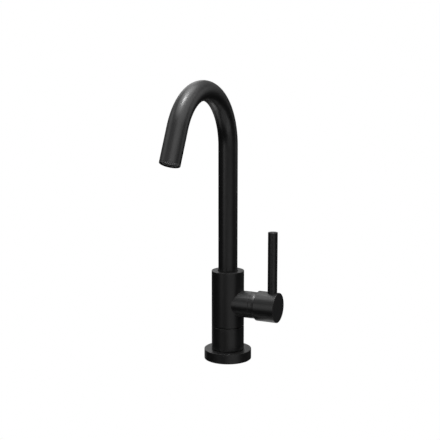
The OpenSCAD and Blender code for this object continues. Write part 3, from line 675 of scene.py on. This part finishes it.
# %% [markdown]
# ## The aerator
#
# A plastic insert screws into the end of the spout. A key turns it by twelve notches in its nose, and
# a honeycomb behind the nose breaks the stream. Cutting notches with a Boolean leaves slivers, so the
# nose's outline is carried round with a height that also depends on the angle: inside a notch it
# steps back by the notch's depth.

# %% Mould the aerator's ring
OUTLET_END, OUTLET_UP = middle_line(np.array([SPOUT_L]))
OUTLET = Place(OUTLET_END[0], (1, 0, 0), np.cross(-OUTLET_UP[0], (1, 0, 0)), -OUTLET_UP[0])


def facet_grid(skin, points, centre):
    """A grid whose squares each face their own way, for moulded shapes with steps in them."""
    a, b, c, d = points[:-1, :-1], points[:-1, 1:], points[1:, 1:], points[1:, :-1]
    squares = np.stack([a, b, c, d], 2).reshape(-1, 4, 3)
    facing = np.cross(squares[:, 2] - squares[:, 0], squares[:, 3] - squares[:, 1])
    size = np.linalg.norm(facing, axis=1, keepdims=True)
    facing /= np.maximum(size, 1e-12)  # a square squeezed to a line faces nowhere
    # the outermost squares tell which way round the grid runs
    far = np.argmax(np.linalg.norm(squares.mean(1) - centre, axis=1) * (size[:, 0] > TINY))
    if facing[far] @ (squares[far].mean(0) - centre) < 0:
        facing = -facing
    halves = np.array([[0, 1, 2], [0, 2, 3]])
    triangles = 4 * np.arange(len(squares))[:, None, None] + halves
    skin.add(squares, facing[:, None], 0.0, triangles.reshape(-1, 3))


def make_aerator():
    """The height of the nose at an angle is its own height, plus the depth of a notch inside a notch."""
    notches, notch_deep, notch_half_w, notch_mid_r = 12, 0.9, 0.8, 8.15
    pitch, flank, in_notch, in_land = 360 / notches, 0.3, 4, 9
    half = np.degrees(np.arcsin(notch_half_w / notch_mid_r))
    offsets = np.concatenate([
        np.linspace(-half + flank, half - flank, in_notch),
        np.linspace(half + flank, pitch - half - flank, in_land),
    ])
    angles = (np.arange(notches)[:, None] * pitch + offsets).ravel()
    cut = np.tile(np.arange(len(offsets)) < in_notch, notches) * notch_deep
    angles = np.radians(np.append(angles, angles[0] + 360))
    cut = np.append(cut, cut[0])
    mouth_r, root_r, nose_r, ring_r = 6.85, 7.65, 8.65, 9.55
    tip, nose_back, mouth, step, back, beside = 0.9, 1.5, 1.8, 3.3, 9.9, 0.03
    corners = [
        (mouth_r, mouth), (mouth_r, tip), (root_r - beside, tip), (root_r + beside, tip), (nose_r, tip),
        (nose_r, step), (ring_r, step), (ring_r, back), (root_r, back), (root_r, mouth),
    ]
    points = rounded(corners, [0.05, 0.12, 0.03, 0.03, 0.15, 0.1, 0.1, 0.15, 0.15, 0.05])[0]
    in_nose = ((points[:, 0] > root_r) & (points[:, 1] < nose_back))[:, None]
    height = points[:, 1:] + in_nose * cut[None]
    skin = Skin()
    inside = OUTLET.origin + OUTLET.along * back / 2
    facet_grid(skin, OUTLET.point(points[:, :1], angles[None], height), inside)
    make_piece(skin, "aerator_ring", "spout", "black_plastic", ["aerator_housing"])


make_aerator()

# %% [markdown]
# ## The base, the collar and the gasket
#
# A round flange covers the hole in the deck. It is hollow underneath, with a sleeve round the body's
# core and a rubber ring let into its rim. The collar above it is a plain sleeve. A cylinder with a
# Bevel modifier would round every corner alike. Turning an outline lets each have its own radius.

# %% Turn the base
CORE_R, SLEEVE_R, BODY_R = 15.0, 15.15, 18.0
FLANGE_R, FLANGE_H, FLANGE_CEILING, RIM_W = 26.25, 10.8, 7.2, 4.5
GASKET_IN, GASKET_OUT, GASKET_H = 22.95, 25.05, 1.6
SEAM_Z, SEAM_TOP, SEAM_R, BODY_TOP, CORE_FOOT = 37.1, 38.05, 15.3, 100.0, 1.0
SLEEVE_WALL, GROOVE_GAP, SHADOW_H, SHADOW_DEEP = 2, 0.05, 0.6, 1.2


def turned_piece(name, body, slot, node, corners, radius, place=DECK, angles=ROUND, closed=True):
    """One piece that is a single outline, turned on one axis, with sides of at most 8 mm."""
    longest = 8
    skin = Skin()
    turn_on(skin, place, divided(rounded(corners, radius, closed=closed), longest), angles)
    make_piece(skin, name, body, slot, [node])


def make_base():
    """The flange, the ring in its underside, and the collar with a shadow gap under it."""
    groove_in, groove_out = GASKET_IN - GROOVE_GAP, GASKET_OUT + GROOVE_GAP
    sleeve_out, rim_in = SLEEVE_R + SLEEVE_WALL, FLANGE_R - RIM_W
    flange = [
        (SLEEVE_R, CORE_FOOT), (sleeve_out, CORE_FOOT), (sleeve_out, FLANGE_CEILING),
        (rim_in, FLANGE_CEILING), (rim_in, 0), (groove_in, 0),
        (groove_in, GASKET_H), (groove_out, GASKET_H), (groove_out, 0), (FLANGE_R, 0),
        (FLANGE_R, FLANGE_H), (SLEEVE_R, FLANGE_H),
    ]
    turned_piece(
        "deck_flange", "body", "black_finish", "base_flange", flange,
        [0.2, 0.2, 0.8, 0.8, 0.2, 0.1, 0.1, 0.1, 0.1, 0.25, 0.2, 0.15],
    )
    gasket = [(GASKET_IN, 0), (GASKET_OUT, 0), (GASKET_OUT, GASKET_H), (GASKET_IN, GASKET_H)]
    turned_piece("rim_gasket", "body", "rubber", "flange_gasket", gasket, 0.25)
    foot_r, foot_top = BODY_R - SHADOW_DEEP, FLANGE_H + SHADOW_H
    collar = [
        (SLEEVE_R, FLANGE_H), (foot_r, FLANGE_H), (foot_r, foot_top), (BODY_R, foot_top),
        (BODY_R, SEAM_Z), (SLEEVE_R, SEAM_Z),
    ]
    radius = [0.15, 0.1, 0.1, 0.3, 0.3, 0.15]
    turned_piece("body_collar", "body", "black_finish", "base_collar", collar, radius)


make_base()

# %% [markdown]
# ## A hole in a round wall
#
# Where the branch grows out of the body, the two cylinders meet in a saddle-shaped curve. Cutting
# meshes into each other gives slivers and uneven shading there, so the wall is drawn round the curve
# instead: each row of points is a mix of the curve and of the border of a rectangle on the wall.
# The same patch serves for small screw holes.

# %% Draw a wall round a hole
# how strongly a bore's rim gets the edge mark, for worn finish and a painted highlight
RIM_SCUFF_AND_HIGHLIGHT, CROWDING = 0.6, 1.5


def pierced_wall(
    skin, place, wall_r, angles, heights, hole_angle, hole_z, hole_r, edge_r, out, rows=14, inwards=False
):
    """A rectangle of a cylinder's wall with a round hole whose axis points straight out of the wall.

    A point of the hole's rim at angle a lies hole_r sin(a) to the side and hole_r cos(a) up, and the
    wall's own angle there is the arcsine of the sideways part over the wall's radius. Rows are mixes
    (1 - t) x rim + t x border, closer together near the rim. The rim's small rounding is a quadratic
    curve from the wall to the hole's side. out is +1 where something stands out of the wall, and -1
    where a bore goes in. Returns the angles round the hole, its place, and the rim's last points.
    """
    low, high = heights[0], heights[-1]
    level, upright = np.ones(len(angles)), np.ones(len(heights))
    border = np.concatenate([
        np.stack([angles, high * level], -1)[:-1],
        np.stack([angles[-1] * upright, heights[::-1]], -1)[:-1],
        np.stack([angles[::-1], low * level], -1)[:-1],
        np.stack([angles[0] * upright, heights], -1),
    ])
    spread = (angles[-1] - angles[0]) * wall_r / (high - low)
    aside = (border[:, 0] - hole_angle) * wall_r / spread
    round_hole = np.unwrap(np.arctan2(aside, border[:, 1] - hole_z))
    step_out = place.rim(hole_angle)
    hole = Place(
        place.origin + place.along * hole_z, place.along, place.rim(hole_angle + np.pi / 2), step_out
    )

    def rim(radius):
        """Angle and height, on the wall, of the rim of a hole of this radius."""
        wall_angle = hole_angle + np.arcsin(radius * np.sin(round_hole) / wall_r)
        return np.stack([wall_angle, hole_z + radius * np.cos(round_hole)], -1)

    mix = (np.linspace(0, 1, rows) ** CROWDING)[:, None, None]
    spots = (1 - mix) * rim(hole_r + edge_r) + mix * border
    sign = -1 if inwards else 1
    skin.grid(place.point(wall_r, spots[..., 0], spots[..., 1]), sign * place.rim(spots[..., 0]))
    wall_edge, corner = rim(hole_r + edge_r), rim(hole_r)
    start = place.point(wall_r, wall_edge[:, 0], wall_edge[:, 1])
    middle = place.point(wall_r, corner[:, 0], corner[:, 1])
    end = middle + out * edge_r * step_out
    t = np.linspace(0, 1, 5)[:, None, None]
    points = (1 - t) ** 2 * start + 2 * t * (1 - t) * middle + t**2 * end
    side_facing = sign * out * hole.rim(round_hole)
    facing = (1 - t) * sign * place.rim(wall_edge[:, 0]) + t * side_facing
    facing /= np.linalg.norm(facing, axis=-1, keepdims=True)
    # a bore's rounded rim gets the edge mark: worn finish and a painted highlight
    skin.grid(points, facing, 0.0 if out * sign > 0 else RIM_SCUFF_AND_HIGHLIGHT)
    return round_hole, hole, end


def sleeve(skin, hole, round_hole, start, radius, height, inwards):
    """A round wall from a hole's uneven rim to a level ring: rows of (1 - t) x rim + t x ring."""
    end = hole.point(radius, round_hole, height)
    t = np.linspace(0, 1, 6)[:, None, None]
    skin.grid((1 - t) * start + t * end, (-1 if inwards else 1) * hole.rim(round_hole))

# %% [markdown]
# ## The body and its branch
#
# The body is one brass casting, bored from four sides: from below for the hoses and the fixing studs,
# from above for the spout, from the back for a small screw, and through the branch for the cartridge.
# Its skin starts at the face underneath, runs up the outside, over the top and down into the socket.
# The wall that the branch grows from is one patch round the saddle, and the branch starts from the
# saddle's own points.

# %% The body's sizes, and tools for its faces
BRANCH_R, BRANCH_REACH, SEAT_X, LEDGE_X = 14.65, 30.2, 12.3, 27.1
CARTRIDGE_BORE_R, NUT_HOLE_R = 12.6, 13.2
SOCKET_R, SOCKET_FLOOR = 11.1, 80.0
SCREW_R, SPOUT_SCREW_Z = 2.55, 90.95
HOSE_Y, HOSE_R, HOSE_DEEP = 6.5, 4.5, 12
STUD_X, STUD_R, STUD_DEEP = 9.8, 2.5, 14
BACK = np.pi / 2


def flat_face(skin, rings, facing):
    """A flat face inside the first ring, with the other rings as round holes in it."""
    facing = np.asarray(facing, float)
    slanting = [0.31, 0.52, 0.79]
    across = np.cross(facing, slanting)
    across /= np.linalg.norm(across)
    plane = np.stack([across, np.cross(facing, across)])
    points = np.concatenate(rings)
    starts = np.cumsum([0] + [len(ring) for ring in rings])
    sides = []
    for first, after in zip(starts, starts[1:]):
        ring_spots = np.arange(first, after)
        sides.append(np.stack([ring_spots, np.roll(ring_spots, -1)], -1))
    flat_points = [Vector(p) for p in (points @ plane.T).tolist()]
    found = delaunay_2d_cdt(flat_points, np.concatenate(sides).tolist(), [], 1, TINY)
    placed = points[[sources[0] for sources in found[3]]]
    triangles = np.array(found[2]).reshape(-1, 3)
    middle = placed[triangles].mean(1)
    # a triangle that fills a hole has its middle nearer than the hole's rim
    for ring in rings[1:]:
        reach = np.linalg.norm(ring - ring.mean(0), axis=1).min()
        outside = np.linalg.norm(middle - ring.mean(0), axis=1) > 0.999 * reach
        middle, triangles = middle[outside], triangles[outside]
    skin.add(placed, facing, 0.0, triangles)


def blind_bore(skin, place, angles, mouth_r, wall_r, depth, point):
    """A turned bore in a face: a broken edge, a wall, and a floor drilled to a shallow point."""
    corners = [(mouth_r, 0), (wall_r, wall_r - mouth_r), (wall_r, -depth), (0, -depth - point)]
    turn_on(skin, place, rounded(corners, [0.1, 0.2, 0.2, 0.1], closed=False), angles)


def plain_wall(skin, radius, angles, heights, sign):
    """Part of a round wall on the deck's axis, which faces out where sign is 1 and in where it's -1."""
    skin.grid(DECK.point(radius, angles[None], heights[:, None]), sign * DECK.rim(angles)[None])


print("the branch reaches", BRANCH_REACH, "mm from the body's axis")

# %% Cast the body
def body_outline():
    """The core with its O-ring groove, the foot of the body proper, and the seam between them."""
    groove_r, groove_half, ring_z = 13.35, 1.15, 23.95
    groove_low, groove_high = ring_z - groove_half, ring_z + groove_half
    return [
        (0, CORE_FOOT), (CORE_R, CORE_FOOT), (CORE_R, groove_low), (groove_r, groove_low),
        (groove_r, groove_high), (CORE_R, groove_high), (CORE_R, SEAM_Z),
        (SEAM_R, SEAM_Z), (SEAM_R, SEAM_TOP), (BODY_R, SEAM_TOP), (BODY_R, BODY_TOP),
    ]


def make_body():
    """The whole skin of the casting, from the face underneath to the bore in the branch."""
    skin = Skin()
    foot = rounded(body_outline(), [0.1, 0.4, *[0.1] * 7, 0.15, 0.1], closed=False)
    points, facing, scuff_and_highlight = (values[1:] for values in foot)
    wall_foot, wall_joint, wall_top = 40.0, 86.0, 96.0
    points[-1] = (BODY_R, wall_foot)
    turn_on(skin, DECK, (points, facing, scuff_and_highlight), ROUND)

    # the face underneath, with two hose threads and two stud holes
    bores = [
        (0, HOSE_Y, HOSE_R, HOSE_DEEP), (0, -HOSE_Y, HOSE_R, HOSE_DEEP),
        (STUD_X, 0, STUD_R, STUD_DEEP), (-STUD_X, 0, STUD_R, STUD_DEEP),
    ]
    rings = [DECK.point(points[0, 0], ROUND[:-1], CORE_FOOT)]
    small, broken_edge, drill_point = full_turn(48), 0.25, 1.2
    for x, y, radius, depth in bores:
        mouth_r = radius + broken_edge
        downwards = Place((x, y, CORE_FOOT), (1, 0, 0), (0, 1, 0), (0, 0, -1))
        rings.append(downwards.point(mouth_r, small[:-1], 0))
        blind_bore(skin, downwards, small, mouth_r, radius, depth, drill_point)
    flat_face(skin, rings, (0, 0, -1))

    # the wall in bands: one with the branch in front, one with the screw's hole at the back
    heights = np.linspace(wall_foot, wall_joint, 25)
    front = np.concatenate([ROUND[3 * QUARTER : -1] - 2 * np.pi, ROUND[: QUARTER + 1]])
    round_hole, hole, rim = pierced_wall(
        skin, DECK, BODY_R, front, heights, 0.0, BRANCH_Z, BRANCH_R, 0.15, 1
    )
    plain_wall(skin, BODY_R, ROUND[QUARTER : 3 * QUARTER + 1], heights, 1)
    upper = np.linspace(wall_joint, wall_top, 9)
    half_patch = 12
    first, last = QUARTER - half_patch, QUARTER + half_patch
    across_back = ROUND[first : last + 1]
    others = np.concatenate([ROUND[last:], ROUND[1 : first + 1] + 2 * np.pi])
    rims = []
    for wall_r, sign in ((BODY_R, 1), (SOCKET_R, -1)):
        around, screw_hole, screw_rim = pierced_wall(
            skin, DECK, wall_r, across_back, upper, BACK, SPOUT_SCREW_Z, SCREW_R, 0.2, -sign, 8, sign < 0
        )
        rims.append(screw_rim)
        plain_wall(skin, wall_r, others, upper, sign)
    skin.grid(np.stack(rims), -screw_hole.rim(around)[None])

    # over the top, and down the socket to the bore that brings the mixed water
    top = [(BODY_R, wall_top), (BODY_R, BODY_TOP), (SOCKET_R, BODY_TOP), (SOCKET_R, wall_top)]
    turn_on(skin, DECK, rounded(top, [0.1, 0.2, 0.5, 0.1], closed=False), ROUND)
    well_r, well_floor, water_r, water_floor = 5, 70.4, 2.8, 57
    socket = [
        (SOCKET_R, wall_joint), (SOCKET_R, SOCKET_FLOOR), (well_r, SOCKET_FLOOR), (well_r, well_floor),
        (water_r, well_floor), (water_r, water_floor), (0, water_floor - 1),
    ]
    turn_on(skin, DECK, rounded(socket, [0.1, 0.3, *[0.2] * 4, 0.1], closed=False), ROUND)

    # the branch, its mouth, and the bore for the cartridge
    sleeve_end, nut_floor = BRANCH_REACH - 2, LEDGE_X - 1
    sleeve(skin, hole, round_hole, rim, BRANCH_R, sleeve_end, False)
    mouth = [
        (BRANCH_R, sleeve_end), (BRANCH_R, BRANCH_REACH), (NUT_HOLE_R, BRANCH_REACH),
        (NUT_HOLE_R, nut_floor), (CARTRIDGE_BORE_R, nut_floor), (CARTRIDGE_BORE_R, SEAT_X),
        (0, SEAT_X),
    ]
    mouth = rounded(mouth, [0.1, 0.35, 0.15, 0.1, 0.1, 0.2, 0.1], closed=False)
    turn_on(skin, hole, mouth, round_hole)
    make_piece(skin, "valve_body", "body", "black_finish", ["mixer_body"])


make_body()

# %% [markdown]
# ## The bonnet and the handle
#
# The bonnet is a thin cap that hides the cartridge's nut. Its dome is part of a ball about the point
# that the lever tilts on, and so is the hollow in the back of the hub. However the lever moves, the
# two surfaces keep the same small gap. The hub has a hole on top for the lever and one underneath for
# a small screw, so its wall is two patches, one in each half.

# %% Turn the bonnet
PIVOT_X, BONNET_R, BONNET_X, DOME_X, BONNET_WALL, BONNET_HOLE_R = 32.4, 14.6, 30.24, 33.4, 1.2, 10.2
DOME_R = float(np.hypot(BONNET_R, DOME_X - PIVOT_X))
CURVE = 50.0  # a radius so large that the arcs of neighbouring corners meet


def dome_arc(radius, from_height, to_r, count=9):
    """Points of a circle about the pivot, from a height along the branch to a radius round it."""
    angle = np.linspace(np.arcsin((from_height - PIVOT_X) / radius), np.arccos(to_r / radius), count)
    return np.stack([radius * np.cos(angle), PIVOT_X + radius * np.sin(angle)], -1)


def make_bonnet():
    """A short sleeve that turns in to a dome, and the same dome again one wall further in."""
    outside = dome_arc(DOME_R, DOME_X, BONNET_HOLE_R)
    inside = dome_arc(DOME_R - BONNET_WALL, DOME_X, BONNET_HOLE_R)[::-1]
    foot = [(NUT_HOLE_R, BONNET_X), (BONNET_R, BONNET_X)]
    corners = np.concatenate([foot, outside, inside, [(NUT_HOLE_R, DOME_X)]])
    radius = [0.15, 0.3, 20, *[CURVE] * 7, 0.25, 0.25, *[CURVE] * 7, 0.2, 0.1]
    turned_piece("cartridge_bonnet", "body", "black_finish", "bonnet", corners, radius, BRANCH)


make_bonnet()

# %% Turn and drill the hub
HUB_R, HUB_X, HUB_END, HUB_HOLLOW_R, HUB_ROUND = 16.45, 36.9, 60.4, DOME_R + 0.6, 0.35
LEVER_X, LEVER_R, LEVER_FOOT, LEVER_TOP = 53.4, 5.25, 13.45, 83.0
HUB_SCREW_X, SOCKET_HALF, SOCKET_END, LEVEL_OVER_FLOOR = 51.134, 3.55, 55.1, 0.5


def make_hub():
    """The hub: a wall of two pierced halves, a rounded end, and a hollow back with a square socket."""
    skin = Skin()
    low, high = 44.0, 59.4
    heights = np.linspace(low, high, 15)
    top = np.concatenate([ROUND[3 * QUARTER : -1] - 2 * np.pi, ROUND[: QUARTER + 1]])
    below = ROUND[QUARTER : 3 * QUARTER + 1]
    # each hole: its half, angle, place, radius, rounding and floor, and the narrower bore below it
    holes = [
        (top, 0.0, LEVER_X, LEVER_R + 0.05, 0.12, LEVER_FOOT, 3.05, 7.4),
        (below, np.pi, HUB_SCREW_X, SCREW_R, 0.2, 4.2, 1.6, 3.7),
    ]
    for half, around, along, radius, edge_r, floor, bore_r, bore_end in holes:
        angles, hole, rim = pierced_wall(
            skin, BRANCH, HUB_R, half, heights, around, along, radius, edge_r, -1, 12
        )
        level = floor + LEVEL_OVER_FLOOR
        sleeve(skin, hole, angles, rim, radius, level, True)
        corners = [
            (radius, level), (radius, floor), (bore_r, floor), (bore_r, bore_end), (0, bore_end),
        ]
        turn_on(skin, hole, rounded(corners, 0.12, closed=False), angles)
    front = [(HUB_R, high), (HUB_R, HUB_END), (0, HUB_END)]
    turn_on(skin, BRANCH, rounded(front, [0.1, HUB_ROUND, 0.1], 9, closed=False), ROUND)

    # the hollow is a ball about the pivot: (height - pivot) squared is its radius squared less the
    # reach squared, and the reach goes from a round rim to the square socket
    socket_rim = 7.0
    hollow = dome_arc(HUB_HOLLOW_R, HUB_X, socket_rim, 13)[::-1]
    corners = np.concatenate([hollow, [(HUB_R, HUB_X), (HUB_R, low)]])
    radius = [CURVE, *[CURVE] * 11, 0.2, 0.4, 0.1]
    turn_on(skin, BRANCH, rounded(corners, radius, closed=False), ROUND)
    square = SOCKET_HALF / np.maximum(np.abs(np.cos(ROUND)), np.abs(np.sin(ROUND)))
    mix = np.linspace(0, 1, 8)[:, None]
    reach = (1 - mix) * socket_rim + mix * square
    height = PIVOT_X + np.sqrt(HUB_HOLLOW_R**2 - reach**2)
    points = BRANCH.point(reach, ROUND[None], height)
    skin.grid(points, (BRANCH.point(0.0, 0.0, PIVOT_X) - points) / HUB_HOLLOW_R)
    socket_end = BRANCH.point(square, ROUND, SOCKET_END)
    half_side = STEPS // 8
    for start in range(0, STEPS, half_side):
        end = start + half_side
        wall = -BRANCH.rim(np.round((ROUND[start] + ROUND[end]) / np.pi) * np.pi / 2)
        skin.grid(np.stack([points[-1, start : end + 1], socket_end[start : end + 1]]), wall)
    skin.grid(np.stack([socket_end, BRANCH.point(0 * square, ROUND, SOCKET_END)]), -BRANCH.along)
    make_piece(skin, "lever_hub", "handle", "black_finish", ["handle_hub"])


make_hub()

# %% Turn the lever
def make_lever():
    """A rod with a thin stud at its foot, which screws into the hub."""
    place = Place((LEVER_X, 0, BRANCH_Z), (1, 0, 0), (0, 1, 0), (0, 0, 1))
    stud_l, stud_r = 6, 3.0
    stud_foot = LEVER_FOOT - stud_l
    corners = [
        (0, stud_foot), (stud_r, stud_foot), (stud_r, LEVER_FOOT), (LEVER_R, LEVER_FOOT),
        (LEVER_R, LEVER_TOP), (0, LEVER_TOP),
    ]
    radius = [0.1, 0.3, 0.1, 0.15, 0.25, 0.1]
    turned_piece(
        "lever_bar", "handle", "black_finish", "lever_rod", corners, radius, place, full_turn(96), False
    )


make_lever()
